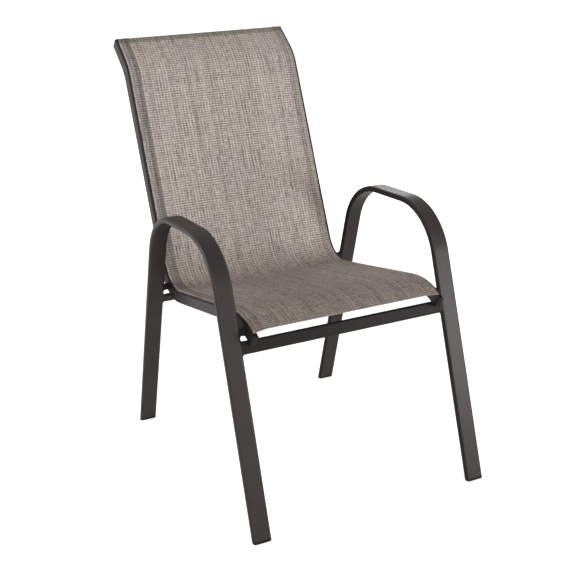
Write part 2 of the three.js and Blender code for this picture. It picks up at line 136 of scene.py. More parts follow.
class Finish:
    # writes nodes into a new material, or into the tree that it is given
    def __init__(self, name="", tree=None):
        if tree is None:
            self.material = bpy.data.materials.new(name)
            self.material.use_nodes = True
            tree = self.material.node_tree
        self.tree = tree
        self.tree.nodes.clear()

    def node(self, kind, settings=None, sockets=None, out=0):
        made = self.tree.nodes.new(kind)
        for name, value in (settings or {}).items():
            setattr(made, name, value)
        for name, value in (sockets or {}).items():
            if isinstance(value, Value):
                self.tree.links.new(value.socket, made.inputs[name])
            else:
                made.inputs[name].default_value = value
        return Value(self, made.outputs[out]) if len(made.outputs) else made

    def place(self, source="Object"):
        return self.node("ShaderNodeTexCoord", out=source)

    def split(self, vector):
        apart = self.node("ShaderNodeSeparateXYZ", sockets={0: vector}).socket.node
        return [Value(self, socket) for socket in apart.outputs]

    def joined(self, x, y):
        return self.node("ShaderNodeCombineXYZ", sockets={0: x, 1: y})

    def noise(self, vector, scale, detail=2.0, rough=0.5):
        return self.node("ShaderNodeTexNoise",
                         sockets={"Vector": vector, "Scale": scale, "Detail": detail, "Roughness": rough})

    def chance(self, number):
        return self.node("ShaderNodeTexWhiteNoise", {"noise_dimensions": "1D"}, {"W": number})

    def mix(self, share, first, second, blend="MIX"):
        return self.node("ShaderNodeMix", {"data_type": "RGBA", "blend_type": blend},
                         {0: share, 6: first, 7: second}, out=2)

    def bump(self, height, distance):
        return self.node("ShaderNodeBump", sockets={"Height": height, "Distance": distance, "Strength": 1.0})

    def backdropRays(self):
        # 1 for what the camera, gloss and glass see, and 0 for what lights the chair
        path = self.node("ShaderNodeLightPath").socket.node
        seen, shiny, through = (Value(self, path.outputs[f"Is {ray} Ray"])
                                for ray in ("Camera", "Glossy", "Transmission"))
        return seen.most(shiny).most(through)

    def close(self, **sockets):
        named = {name.replace("_", " "): value for name, value in sockets.items()}
        surface = self.node("ShaderNodeBsdfPrincipled", sockets=named)
        self.node("ShaderNodeOutputMaterial", sockets={"Surface": surface})
        return self.material


paintLook = {
    # edge is the colour of the painted shade in those narrow places
    "dark": (33, 29, 28), "light": (44, 39, 37), "edge": (14, 13, 12),
    "bright": 0.42, "dull": 0.54, "paintedShadeDull": 0.9,  # roughness
    "specular": 0.1, "coat": 0.11, "coatRoughness": 0.3,
    "grain": 0.9 * mm, "grainDepth": 0.05 * mm, "fleck": 2.2,  # a fleck's size, in grains
    "cloudScale": 9.0,
}


def powderCoat():
    finish = Finish("powderCoat")
    spot = finish.place()
    grain = finish.noise(spot, 1 / paintLook["grain"], 2.0, 0.6)
    cloud = finish.noise(spot, paintLook["cloudScale"], 3.0)
    fleck = finish.noise(spot, 1 / (paintLook["fleck"] * paintLook["grain"]), 1.0)
    body = (cloud * 0.5 + grain * 0.5).between(0.3, 0.7)
    colour = finish.mix(body, tone(*paintLook["dark"]), tone(*paintLook["light"]))
    # painted shade: darker, duller and without coat in the narrow places between the pieces, where shade
    # falls
    paintedShade = finish.node("ShaderNodeAttribute", {"attribute_name": "paintedShade"}, out="Fac")
    colour = finish.mix(paintedShade, colour, tone(*paintLook["edge"]))
    roughness = (cloud * 0.6 + fleck * 0.4).between(0.3, 0.7, paintLook["bright"], paintLook["dull"])
    return finish.close(Base_Color=colour, Roughness=roughness.most(paintedShade * paintLook["paintedShadeDull"]),
                        Specular_IOR_Level=paintLook["specular"], Coat_Roughness=paintLook["coatRoughness"],
                        Coat_Weight=(1.0 - paintedShade) * paintLook["coat"],
                        Normal=finish.bump(grain * 0.7 + fleck * 0.3, paintLook["grainDepth"]))


plasticLook = {
    "blackPlastic": {"dark": (15, 15, 14), "light": (23, 22, 21), "roughness": 0.7},
    "rodPlastic": {"dark": (66, 62, 58), "light": (84, 80, 76), "roughness": 0.6},
    "specular": 0.12, "poreScale": 1400.0, "poreDepth": 0.04 * mm,
    "flowScale": 60.0, "flowRoughness": 0.06,
}


def mouldedPlastic(name):
    look = plasticLook[name]
    finish = Finish(name)
    spot = finish.place()
    pores = finish.noise(spot, plasticLook["poreScale"])
    flow = finish.noise(spot, plasticLook["flowScale"])
    body = (flow * 0.6 + pores * 0.4).between(0.3, 0.7)
    colour = finish.mix(body, tone(*look["dark"]), tone(*look["light"]))
    smoothest = look["roughness"] - plasticLook["flowRoughness"]
    roughest = look["roughness"] + plasticLook["flowRoughness"]
    return finish.close(Base_Color=colour, Roughness=flow.between(0.3, 0.7, smoothest, roughest),
                        Specular_IOR_Level=plasticLook["specular"],
                        Normal=finish.bump(pores, plasticLook["poreDepth"]))


weave = {
    "warp": 1.3 * mm, "weft": 1.45 * mm,  # from yarn to yarn, along and across the chair
    "warpRepeat": 6, "weftRepeat": 4,  # yarns from one dark line to the next
    "warpDrift": 2.2, "weftDrift": 1.4, "driftScale": 11.0,  # how far the lines wander, in yarns
    "warpRunScale": 70.0, "weftRunScale": 60.0,  # changes along a yarn, to the metre
    "lengthwaysScale": 38.0, "patchScale": 8.0,
    "slubScale": (230.0, 9.0), "streakScale": (75.0, 1.6), "frayScale": (260.0, 20.0),
    "frayed": 8 * mm,
    "dark": (101, 94, 88), "light": (223, 211, 203), "shadow": (52, 47, 44),
    "yellowish": (236, 230, 212), "purplish": (232, 222, 224),
    # the next four tones darken the side hems, the top hem, the hems' valley and the seat, as painted shade
    "hem": (210, 213, 215), "topHem": (172, 182, 171), "valleyShade": (168, 158, 152), "seatShadeTone": (204, 200, 197),
    "depth": 0.3 * mm, "roughness": 0.74, "specular": 0.25,
}


def wovenFabric(foldAt, hemEdge, topHem):
    finish = Finish("wovenSling")
    flat = finish.place("UV")
    u, v = finish.split(flat)[:2]
    drift = finish.noise(flat, weave["driftScale"]) - 0.5
    across = u / weave["warp"] + drift * weave["warpDrift"]
    along = v / weave["weft"] + drift * weave["weftDrift"]
    warpNumber, weftNumber = across.floor(), along.floor()
    warpSide, weftSide = across.fract(), along.fract()
    over = ((warpNumber + weftNumber) * 0.5).fract() * 2.0  # 1 where the weft is on top
    under = 1.0 - over

    # dark and light yarns follow each other, none of them the same all its way
    warpTurn = (warpNumber * (2 * math.pi / weave["warpRepeat"])).sin() * 0.5 + 0.5
    weftTurn = (weftNumber * (2 * math.pi / weave["weftRepeat"]) + 0.8).sin() * 0.5 + 0.5
    warpRun = finish.noise(finish.joined(warpNumber * 0.61, v * weave["warpRunScale"]), 1.0)
    weftRun = finish.noise(finish.joined(u * weave["weftRunScale"], weftNumber * 0.67), 1.0)
    # in some places the lines along the chair show most, in others those across it, as on the seat
    lengthways = finish.noise(flat, weave["lengthwaysScale"]).between(0.4, 0.6)
    onBack = v.between(0.3, 0.5)
    warpShare = (lengthways * 0.5 + 0.2) * (onBack * 0.6 + 0.4)
    warpTone = warpTurn * warpShare + (warpRun - 0.5) * 1.6 + finish.chance(warpNumber) * 0.35
    weftShare = 0.95 - lengthways * 0.45
    weftTone = weftTurn * weftShare + (weftRun - 0.5) * 1.5 + finish.chance(weftNumber + 311.0) * 0.2
    # thin dark slubs along the chair, and wider streaks from one end to the other
    slubAcross, slubAlong = weave["slubScale"]
    slub = finish.noise(finish.joined(u * slubAcross, v * slubAlong), 1.0, 2.0, 0.6).between(0.6, 0.68)
    streakAcross, streakAlong = weave["streakScale"]
    streak = finish.noise(finish.joined(u * streakAcross, v * streakAlong), 1.0, 3.0, 0.65) - 0.5
    light = (over * weftTone + under * warpTone + streak * 0.45 - slub * 0.45).between(-0.1, 1.1)
    cloth = finish.mix(light, tone(*weave["dark"]), tone(*weave["light"]))
    patch = finish.noise(flat, weave["patchScale"], 2.5).between(0.4, 0.6)
    tint = finish.mix(patch, tone(*weave["purplish"]), tone(*weave["yellowish"]))
    cloth = finish.mix(0.3, cloth, tint, "MULTIPLY")

    # round yarns that dip under each other
    warpRound = (warpSide * math.pi).sin()
    weftRound = (weftSide * math.pi).sin()
    height = over * weftRound * (0.45 + 0.55 * warpRound) + under * warpRound * (0.45 + 0.55 * weftRound)
    gap = height.between(0.0, 0.5, 0.5, 0.0)

    # the side hems lie double on top and are painted darker, as painted shade where less light shines through
    # two layers, more on the left hem than the right; a painted shadow lies in the valley at their sewn edge,
    # and both show least on the seat
    inHem = hemEdge - abs(u)
    onHem = (abs(u) > foldAt) * u.between(-0.1, 0.1, 1.0, 0.5) * v.between(0.05, 0.4, 0.4, 1.0)
    valley = inHem.between(1.0 * mm, 3.0 * mm) * inHem.between(10.0 * mm, 14.0 * mm, 1.0, 0.0)
    cloth = finish.mix(onHem, cloth, tone(*weave["hem"]), "MULTIPLY")
    # painted shadow in the valley at the side hems' sewn edge, on the back only
    valleyShadeShare = onHem * valley * v.between(0.36, 0.56, 0.0, 0.45)
    cloth = finish.mix(valleyShadeShare, cloth, tone(*weave["valleyShade"]), "MULTIPLY")
    # the top hem is painted darker too, as painted shade on its double layer, and the seat gets painted
    # shade, most at its front edge
    frayAcross, frayAlong = weave["frayScale"]
    frayed = finish.noise(finish.joined(u * frayAcross, v * frayAlong), 1.0, 1.0) * weave["frayed"]
    onTopHem = (v + frayed).between(topHem - 2 * mm, topHem + 9 * mm, 0.0, 0.8)
    cloth = finish.mix(onTopHem, cloth, tone(*weave["topHem"]), "MULTIPLY")
    # painted shade over the whole seat, most at its front edge, fading out low on the back
    seatShade = v.between(0.02, 0.2, 0.55, 0.0) + v.between(0.4, 0.52, 0.7, 0.0)
    cloth = finish.mix(seatShade, cloth, tone(*weave["seatShadeTone"]), "MULTIPLY")
    colour = finish.mix(gap, cloth, tone(*weave["shadow"]))
    return finish.close(Base_Color=colour, Roughness=weave["roughness"],
                        Specular_IOR_Level=weave["specular"], Normal=finish.bump(height, weave["depth"]))


paint = powderCoat()
blackPlastic = mouldedPlastic("blackPlastic")
rodPlastic = mouldedPlastic("rodPlastic")
print("finishes mixed")

# modelling helpers


def roundedFace(bm, width, depth, corner, segments=6):
    # a flat rectangle with round corners, round the origin and facing +Z
    made = bmesh.ops.create_grid(bm, x_segments=1, y_segments=1, size=0.5)["verts"]
    bmesh.ops.scale(bm, vec=(width, depth, 1), verts=made)
    rounded = bmesh.ops.bevel(bm, geom=made, offset=corner, offset_type="OFFSET", segments=segments,
                              profile=0.5, affect="VERTICES", material=-1)
    return next(face for vert in rounded["verts"] for face in vert.link_faces)


def roundedRim(bm, width, depth, corner, segments=6):
    # the same rectangle without its face
    face = roundedFace(bm, width, depth, corner, segments)
    rim = list(face.edges)
    bmesh.ops.delete(bm, geom=[face], context="FACES_ONLY")
    return rim


def edgesIn(made):
    return [part for part in made if isinstance(part, bmesh.types.BMEdge)]


def vertsOf(edges):
    # each one once, in an order that is the same each run
    return list(dict.fromkeys(vert for edge in edges for vert in edge.verts))


def extendTube(bm, rim, start, heading, runs, stepAngle=3.0):
    # carries loops of edges, in the YZ plane, along straights (length,) and
    # bends (radius, degrees to the left)
    y, z = start
    for run in runs:
        if len(run) == 1:
            step = Vector((0, math.cos(heading), math.sin(heading))) * run[0]
            rim = edgesIn(bmesh.ops.extrude_edge_only(bm, edges=rim)["geom"])
            bmesh.ops.translate(bm, vec=step, verts=vertsOf(rim))
            y, z = y + step.y, z + step.z
        else:
            radius, turn = run[0], radians(run[1])
            side = math.copysign(radius, turn)
            centre = Vector((0, y - side * math.sin(heading), z + side * math.cos(heading)))
            steps = max(2, math.ceil(abs(run[1]) / stepAngle))
            made = bmesh.ops.spin(bm, geom=vertsOf(rim) + rim, cent=centre, axis=(1, 0, 0), dvec=(0, 0, 0),
                                  angle=turn, steps=steps, use_merge=False, use_duplicate=False)
            rim = edgesIn(made["geom_last"])
            heading += turn
            y, z = centre.y + side * math.sin(heading), centre.z - side * math.cos(heading)
    return rim


def turnInto(bm, x, y, z, heading):
    # section coordinates (side, depth, along) into the row frame
    cos, sin = math.cos(heading), math.sin(heading)
    matrix = Matrix(((1, 0, 0, x), (0, sin, cos, y), (0, -cos, sin, z), (0, 0, 0, 1)))
    bmesh.ops.transform(bm, matrix=matrix, verts=bm.verts)


def raiseFace(bm, face, move, scale=(1, 1)):
    # pulls a face out by a vector and scales it round its own middle
    made = bmesh.ops.extrude_face_region(bm, geom=[face])["geom"]
    top = next(part for part in made if isinstance(part, bmesh.types.BMFace))
    bmesh.ops.translate(bm, vec=move, verts=top.verts)
    middle = top.calc_center_median()
    bmesh.ops.scale(bm, vec=(scale[0], scale[1], 1), space=Matrix.Translation(-middle), verts=top.verts)
    return top


# how much painted shade the paint gets in narrow places, from 0 to 1: how dark and dull it is there
paintedShadeShare = {"insideLegs": 0.7, "stubs": 0.8, "frontTube": 0.75,
                "besideCloth": 0.45, "besideLegs": 0.9, "besideStubs": 0.7}


def paintShade(bm, share, inside=lambda spot: True):
    # marks those places with painted shade
    layer = bm.verts.layers.float.get("paintedShade") or bm.verts.layers.float.new("paintedShade")
    for vert in bm.verts:
        if inside(vert.co):
            vert[layer] = max(vert[layer], share)


def keepPiece(bm, name, material, replaces=(), sharp=35.0, weighted=True):
    bmesh.ops.remove_doubles(bm, verts=bm.verts, dist=0.002 * mm)
    bmesh.ops.recalc_face_normals(bm, faces=bm.faces)
    for face in bm.faces:
        face.smooth = True
    for edge in bm.edges:
        edge.smooth = len(edge.link_faces) == 2 and edge.calc_face_angle() < radians(sharp)
    mesh = bpy.data.meshes.new(name)
    bm.to_mesh(mesh)
    bm.free()
    mesh.materials.append(material)
    piece = bpy.data.objects.new(name, mesh)
    bpy.context.collection.objects.link(piece)
    if weighted:
        piece.modifiers.new("evenShading", "WEIGHTED_NORMAL").keep_sharp = True
    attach(piece, "root")
    if replaces:
        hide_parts(*replaces)
    return piece


sides = (("left", -1), ("right", 1))
shift = -405.1823 * mm  # the front feet's outer face stands here, and the origin is midway along the chair
room = 0.3 * mm  # between a piece and what it sits in

# side frames: flat-oval tube, up the front leg, over the arm and down the rear leg

sideFrame = {
    "width": 41 * mm, "thickness": 13.5 * mm, "corner": 5.5 * mm, "wall": 1.2 * mm, "x": 259.5 * mm,
    "armHeight": 588 * mm, "footSpan": 656.5 * mm, "frontLean": 15.66, "rearLean": 17.21, "bend": 138 * mm,
    "footEnd": 6.3 * mm,  # from the floor
    "underFloor": 20 * mm,  # made longer by this, then cut level
    "paintedShadeReach": 3 * mm,
}


def makeSideFrame(name, side):
    size = sideFrame
    bm = bmesh.new()
    rims = []
    for inset in (0, size["wall"]):
        width, thickness = size["width"] - 2 * inset, size["thickness"] - 2 * inset
        rims += roundedRim(bm, width, thickness, size["corner"] - inset, 8)
    bmesh.ops.translate(bm, vec=(0, size["thickness"] / 2, 0), verts=bm.verts)
    front, rear = radians(size["frontLean"]), radians(size["rearLean"])
    corner = {lean: size["bend"] * math.tan((math.pi / 2 - lean) / 2) for lean in (front, rear)}
    leg = {lean: size["armHeight"] / math.cos(lean) - corner[lean] for lean in (front, rear)}
    leaned = size["armHeight"] * (math.tan(front) + math.tan(rear))
    arm = size["footSpan"] - leaned - corner[front] - corner[rear]
    below = size["underFloor"]
    heading = math.pi / 2 - front
    start = (shift - below * math.cos(heading), -below * math.sin(heading))
    turnInto(bm, side * size["x"], *start, heading)
    extendTube(bm, rims, start, heading, [
        (leg[front] + below,), (size["bend"], size["frontLean"] - 90), (arm,),
        (size["bend"], size["rearLean"] - 90), (leg[rear] + below,)])
    bmesh.ops.bisect_plane(bm, geom=bm.verts[:] + bm.edges[:] + bm.faces[:], plane_co=(0, 0, size["footEnd"]),
                           plane_no=(0, 0, 1), clear_inner=True)
    for end in (-1, 1):
        cutEdges = [edge for edge in bm.edges if edge.is_boundary and edge.verts[0].co.y * end > 0]
        bmesh.ops.bridge_loops(bm, edges=cutEdges)
    # painted shade on the frames' inner sides, towards the cloth
    innerEdge = size["x"] - size["width"] / 2 + size["paintedShadeReach"]
    paintShade(bm, paintedShadeShare["insideLegs"], lambda spot: abs(spot.x) < innerEdge)
    keepPiece(bm, f"side_frame_shell_{name}", paint, [f"side_frame_{name}"])


for name, side in sides:
    makeSideFrame(name, side)
print("side frames bent")

# foot caps: a head on the floor and a plug in the leg

footCap = {"height": 6 * mm, "rounding": 2.5 * mm, "lip": 0.5 * mm, "lipInset": 0.4 * mm,
           "plug": 16 * mm, "plugTip": 1 * mm, "plugTaper": 0.8 * mm}


def makeFootCap(leg, lean, foot, way, name, side):
    tube, cap = sideFrame, footCap
    thickness = tube["thickness"] / math.cos(lean)
    inset = tube["wall"] + room
    rounding, top = cap["rounding"], cap["height"]
    # heights over the floor, and how far in the cap's side is there
    levels = [(rounding * (1 - math.cos(radians(angle))), rounding * (1 - math.sin(radians(angle))))
              for angle in (0, 22.5, 45, 67.5, 90)]
    levels += [(top - cap["lip"], 0), (top, cap["lipInset"]), (top, inset),
               (top + cap["plug"] - cap["plugTip"], inset), (top + cap["plug"], inset + cap["plugTaper"])]
    bm = bmesh.new()
    last = None
    for z, cut in levels:
        width, depth = tube["width"] - 2 * cut, thickness - 2 * cut / math.cos(lean)
        middle = shift + foot + way * (z * math.tan(lean) + thickness / 2)
        if last is None:
            face = roundedFace(bm, width, depth, tube["corner"] - cut / 2)
            bmesh.ops.translate(bm, vec=(side * tube["x"], middle, z), verts=bm.verts)
        else:
            face = raiseFace(bm, face, (0, middle - last[0], z - last[1]), (width / last[2], depth / last[3]))
        last = (middle, z, width, depth)
    keepPiece(bm, f"foot_shoe_{leg}_{name}", blackPlastic, [f"foot_cap_{leg}_{name}"])


for name, side in sides:
    makeFootCap("front", radians(sideFrame["frontLean"]), 0, 1, name, side)
    makeFootCap("rear", radians(sideFrame["rearLean"]), sideFrame["footSpan"], -1, name, side)
print("foot caps fitted")

# cross tubes and rail stubs, which lean with the legs that they are welded to

welded = {
    "crossTubes": {"front": {"y": 111.687 * mm, "z": 373.399 * mm, "height": 27.5 * mm},
                   "rear": {"y": 540.167 * mm, "z": 352.765 * mm, "height": 19 * mm}},
    "stubs": {"front": {"y": 120.186 * mm, "z": 403.718 * mm, "height": 15 * mm},
              "rear": {"y": 530.802 * mm, "z": 382.999 * mm, "height": 15 * mm}},
    "depth": 12.5 * mm, "corner": 5 * mm, "wall": 1.2 * mm, "legEdge": 239 * mm, "railSide": 227.8 * mm,
}
bead = {
    "size": 2.5 * mm, "sideSpread": 0.25 * mm, "railSpread": 1 * mm, "tuck": 0.15 * mm,
    "ripple": 0.25 * mm, "pitch": 2.4 * mm,
    # its section, as shares of its length along the bar and of its spread
    "sectionShares": ((0, 1), (0.16, 0.98), (0.38, 0.84), (0.62, 0.56), (0.84, 0.2), (1, -0.1)),
}


def leanWith(bm, which, piece):
    # section coordinates (depth, height, along X) onto the leg's centre line
    lean = radians(sideFrame["frontLean"] if which == "front" else -sideFrame["rearLean"])
    cos, sin = math.cos(lean), math.sin(lean)
    y, z = piece["y"] + shift, piece["z"]
    matrix = Matrix(((0, 0, 1, 0), (cos, sin, 0, y), (-sin, cos, 0, z), (0, 0, 0, 1)))
    bmesh.ops.transform(bm, matrix=matrix, verts=bm.verts)


def legEdgeAt(depth):
    # how far along X the leg's rounded edge is, at a place across its thickness
    corner, flat = sideFrame["corner"], sideFrame["thickness"] / 2 - sideFrame["corner"]
    reach = min(corner, max(0.0, abs(depth) - flat))
    return welded["legEdge"] + corner - math.sqrt(corner ** 2 - reach ** 2)


def weldedBar(piece, start, hollow):
    # a bar or tube along X whose ends follow the legs' edges; without a start it runs from leg to leg
    bm = bmesh.new()
    rims = []
    for inset in (0, welded["wall"]) if hollow else (0,):
        depth, height = welded["depth"] - 2 * inset, piece["height"] - 2 * inset
        rims += roundedRim(bm, depth, height, welded["corner"] - inset, 8)
    near = vertsOf(rims)
    farRims = edgesIn(bmesh.ops.extrude_edge_only(bm, edges=rims)["geom"])
    for vert in vertsOf(farRims):
        vert.co.z = legEdgeAt(vert.co.x)
    for vert in near:
        vert.co.z = -legEdgeAt(vert.co.x) if start is None else start
    for ends in (rims, farRims):
        if hollow:
            bmesh.ops.bridge_loops(bm, edges=ends)
        else:
            bmesh.ops.contextual_create(bm, geom=ends)
    return bm


def weldBead(piece, atLeg, spread):
    # a bead round a bar's end, with the small steps that the torch leaves
    bm = bmesh.new()
    width, height = welded["depth"] - 2 * bead["tuck"], piece["height"] - 2 * bead["tuck"]
    rim = roundedRim(bm, width, height, welded["corner"] - bead["tuck"], 10)
    bmesh.ops.subdivide_edges(bm, edges=[edge for edge in rim if edge.calc_length() > 2 * mm], cuts=12)
    rim = bm.edges[:]
    count = round(2 * (welded["depth"] + piece["height"]) / bead["pitch"])
    for out, grow in bead["sectionShares"]:
        if out:
            rim = edgesIn(bmesh.ops.extrude_edge_only(bm, edges=rim)["geom"])
        sideSpread = (bead["sideSpread"] if atLeg else spread) * grow
        newWidth, newHeight = welded["depth"] + 2 * sideSpread, piece["height"] + 2 * spread * grow
        verts = vertsOf(rim)
        bmesh.ops.scale(bm, vec=(newWidth / width, newHeight / height, 1), verts=verts)
        width, height = newWidth, newHeight
        for vert in verts:
            angle = math.atan2(vert.co.y / height, vert.co.x / width)
            step = abs(math.sin(angle * count / 2)) - 0.6
            if 0 < out < 1:
                vert.co.y *= 1 + 2 * bead["ripple"] * step / height
            edge = legEdgeAt(vert.co.x) if atLeg else welded["railSide"]
            away = bead["size"] * out + bead["ripple"] * step * (0.1 < out < 0.9)
            vert.co.z = edge - away if atLeg else edge + away
    bmesh.ops.bridge_loops(bm, edges=[edge for edge in bm.edges if edge.is_boundary])
    return bm


def keepWelded(bm, which, piece, side, name, replaces=(), sharp=35.0):
    if side < 0:
        bmesh.ops.scale(bm, vec=(1, 1, -1), verts=bm.verts)
    leanWith(bm, which, piece)
    # painted shade on the rail stubs and their welds, and a painted shadow of the seat on the front cross
    # tube and its welds
    if "stub" in name:
        paintShade(bm, paintedShadeShare["stubs"])
    elif "front" in name:
        paintShade(bm, paintedShadeShare["frontTube"])
    keepPiece(bm, name, paint, replaces, sharp)


for which in ("front", "rear"):
    tube, stub = welded["crossTubes"][which], welded["stubs"][which]
    keepWelded(weldedBar(tube, None, True), which, tube, 1,
               f"{which}_cross_tube_shell", [f"{which}_cross_tube"])
    for name, side in sides:
        keepWelded(weldBead(tube, True, bead["size"]), which, tube, side,
                   f"{which}_cross_tube_weld_{name}", sharp=60)
        keepWelded(weldedBar(stub, welded["railSide"], False), which, stub, side,
                   f"{which}_stub_bar_{name}", [f"{which}_rail_stub_{name}"])
        keepWelded(weldBead(stub, True, bead["size"]), which, stub, side,
                   f"{which}_stub_leg_weld_{name}", sharp=60)
        keepWelded(weldBead(stub, False, bead["railSpread"]), which, stub, side,
                   f"{which}_stub_rail_weld_{name}", sharp=60)
print("cross tubes and stubs welded")

# sling rails: slotted tube bent to the line of the seat and back

rail = {
    "start": (85.7167 * mm + shift, 405.254 * mm), "heading": radians(33.6), "x": 220 * mm,
    "width": 15 * mm, "depth": 27 * mm, "length": 1061.1717 * mm, "corner": 4 * mm, "wall": 1.2 * mm,
    "slot": 3.0 * mm,
    "tipBend": (150 * mm, -42.4), "seatBend": (72 * mm, 78.2), "backFlat": 449.2 * mm,
    "topBend": (110 * mm, -28.0), "topFlat": 62 * mm,
    # where its outer side gets painted shade
    "besideLeg": 75 * mm, "besideStub": 38 * mm, "besideStubTop": 450 * mm,
}


def railRuns():
    # the seat's flat run is what is left between the tip's bend and the seat's corner
    bends = [rail["tipBend"], rail["seatBend"], rail["topBend"]]
    bent = sum(radius * abs(radians(turn)) for radius, turn in bends)
    seatFlat = rail["length"] - bent - (rail["backFlat"] + rail["topFlat"])
    return [bends[0], (seatFlat,), bends[1], (rail["backFlat"],), bends[2], (rail["topFlat"],)]


def lineAt(along):
    # the place and heading on the rail's upper face, at a length from its tip
    y, z = rail["start"]
    heading = rail["heading"]
    if along < 0:
        return y + along * math.cos(heading), z + along * math.sin(heading), heading
    runs = railRuns()
    for number, run in enumerate(runs):
        length = run[0] if len(run) == 1 else run[0] * abs(radians(run[1]))
        isLast = number == len(runs) - 1
        part = along if isLast else min(along, length)
        if len(run) == 1:
            y, z = y + part * math.cos(heading), z + part * math.sin(heading)
        else:
            side = math.copysign(run[0], run[1])
            turn = part / side
            y, z = (y - side * math.sin(heading) + side * math.sin(heading + turn),
                    z + side * math.cos(heading) - side * math.cos(heading + turn))
            heading += turn
        if part == along:
            return y, z, heading
        along -= part


def makeRail(name, side):
    size = rail
    bm = bmesh.new()
    for inset in (0, size["wall"]):
        roundedRim(bm, size["width"] - 2 * inset, size["depth"] - 2 * inset, size["corner"] - inset)
    bmesh.ops.translate(bm, vec=(0, size["depth"] / 2, 0), verts=bm.verts)

    # the slot opens the upper wall
    half = size["slot"] / 2
    wallDepth = 2 * mm  # reaches both faces of the upper wall
    crossing = [edge for edge in bm.edges if all(vert.co.y < wallDepth for vert in edge.verts)
                and edge.verts[0].co.x * edge.verts[1].co.x < 0]
    for edge in crossing:
        made = bmesh.ops.subdivide_edges(bm, edges=[edge], cuts=2)["geom_inner"]
        middle = [part for part in made if isinstance(part, bmesh.types.BMVert)]
        middle.sort(key=lambda vert: vert.co.x)
        middle[0].co.x, middle[1].co.x = -half, half
    gaps = [edge for edge in bm.edges
            if all(abs(abs(vert.co.x) - half) < 0.01 * mm and vert.co.y < wallDepth for vert in edge.verts)]
    lips = sorted(vertsOf(gaps), key=lambda vert: (vert.co.x, vert.co.y))
    bmesh.ops.delete(bm, geom=gaps, context="EDGES")
    bm.edges.new((lips[0], lips[1]))
    bm.edges.new((lips[2], lips[3]))

    # painted shade on the upper face, beside the cloth
    paintShade(bm, paintedShadeShare["besideCloth"], lambda spot: spot.y < size["corner"] * 0.2)
    rim = bm.edges[:]
    y, z = size["start"]
    turnInto(bm, side * size["x"], y, z, size["heading"])
    last = extendTube(bm, rim, size["start"], size["heading"], railRuns())
    for end in (rim, last):
        bmesh.ops.contextual_create(bm, geom=end)
    # and painted shade on the outer side, beside the front legs and the rear stubs
    paintShade(bm, paintedShadeShare["besideLegs"], lambda spot: abs(spot.x) > size["x"]
            and spot.y < y + size["besideLeg"])
    rear = welded["stubs"]["rear"]["y"] + shift
    paintShade(bm, paintedShadeShare["besideStubs"], lambda spot: abs(spot.x) > size["x"]
            and spot.z < size["besideStubTop"] and abs(spot.y - rear) < size["besideStub"])
    keepPiece(bm, f"sling_rail_shell_{name}", paint, [f"sling_rail_{name}"])


for name, side in sides:
    makeRail(name, side)
print("rails bent")

# rail end caps: a rounded head, and a plug that fills the tube below the hem

railCap = {"height": 5.5 * mm, "rounding": 2.4 * mm, "roundingInset": 0.8, "plug": 12 * mm,
           "plugFrom": 11.1 * mm, "plugCorner": 2.2 * mm, "plugTip": 1 * mm, "plugTipShare": 0.86}


def makeRailCap(end, name, side):
    y, z, heading = lineAt(0.0 if end == "front" else rail["length"])
    width, depth = rail["width"], rail["depth"]
    rounding = railCap["rounding"]
    bm = bmesh.new()
    face = roundedFace(bm, width, depth, rail["corner"])
    face = raiseFace(bm, face, (0, 0, railCap["height"] - rounding - room))
    cut = up = 0.0
    for angle in (18, 36, 54, 72, 84):
        lastCut, lastUp = cut, up
        cut = rounding * railCap["roundingInset"] * (1 - math.cos(radians(angle)))
        up = rounding * math.sin(radians(angle))
        scale = ((width - 2 * cut) / (width - 2 * lastCut), (depth - 2 * cut) / (depth - 2 * lastCut))
        face = raiseFace(bm, face, (0, 0, up - lastUp), scale)
    bmesh.ops.translate(bm, vec=(0, depth / 2, room), verts=bm.verts)

    plug = bmesh.new()
    plugTop, plugBottom = railCap["plugFrom"], depth - rail["wall"] - room
    plugWidth = width - 2 * (rail["wall"] + room)
    face = roundedFace(plug, plugWidth, plugBottom - plugTop, railCap["plugCorner"], 4)
    face = raiseFace(plug, face, (0, 0, railCap["plugTip"] - railCap["plug"]))
    tip = railCap["plugTipShare"]
    raiseFace(plug, face, (0, 0, -railCap["plugTip"]), (tip, tip))
    bmesh.ops.translate(plug, vec=(0, (plugTop + plugBottom) / 2, room), verts=plug.verts)
    mesh = bpy.data.meshes.new("plug")
    plug.to_mesh(mesh)
    plug.free()
    bm.from_mesh(mesh)
    bpy.data.meshes.remove(mesh)

    if end == "front":
        bmesh.ops.scale(bm, vec=(1, 1, -1), verts=bm.verts)
    turnInto(bm, side * rail["x"], y, z, heading)
    keepPiece(bm, f"rail_end_{end}_{name}", blackPlastic, [f"rail_cap_{end}_{name}"])


for name, side in sides:
    for end in ("front", "top"):
        makeRailCap(end, name, side)
print("rail ends capped")

# the spreader tube behind the top of the back

spreader = {"y": 750.9588 * mm, "z": 879.4212 * mm, "diameter": 14 * mm, "wall": 1.2 * mm, "end": 210.4 * mm}


def makeSpreader():
    size = spreader
    bm = bmesh.new()
    rims = []
    for radius in (size["diameter"] / 2, size["diameter"] / 2 - size["wall"]):
        ring = bmesh.ops.create_circle(bm, cap_ends=False, segments=40, radius=radius)["verts"]
        rims += dict.fromkeys(edge for vert in ring for edge in vert.link_edges)
    y, z = size["y"] + shift, size["z"]
    matrix = Matrix(((0, 0, 1, -size["end"]), (1, 0, 0, y), (0, 1, 0, z), (0, 0, 0, 1)))
    bmesh.ops.transform(bm, matrix=matrix, verts=bm.verts)
    far = edgesIn(bmesh.ops.extrude_edge_only(bm, edges=rims)["geom"])
    bmesh.ops.translate(bm, vec=(2 * size["end"], 0, 0), verts=vertsOf(far))
    for end in (-1, 1):
        endEdges = [edge for edge in bm.edges if edge.is_boundary and edge.verts[0].co.x * end > 0]
        bmesh.ops.bridge_loops(bm, edges=endEdges)
    keepPiece(bm, "back_spreader_shell", paint, ["back_spreader_tube"])


makeSpreader()
print("spreader fitted")

# the sling: one cloth with a loop round the rod in each rail, and turned hems

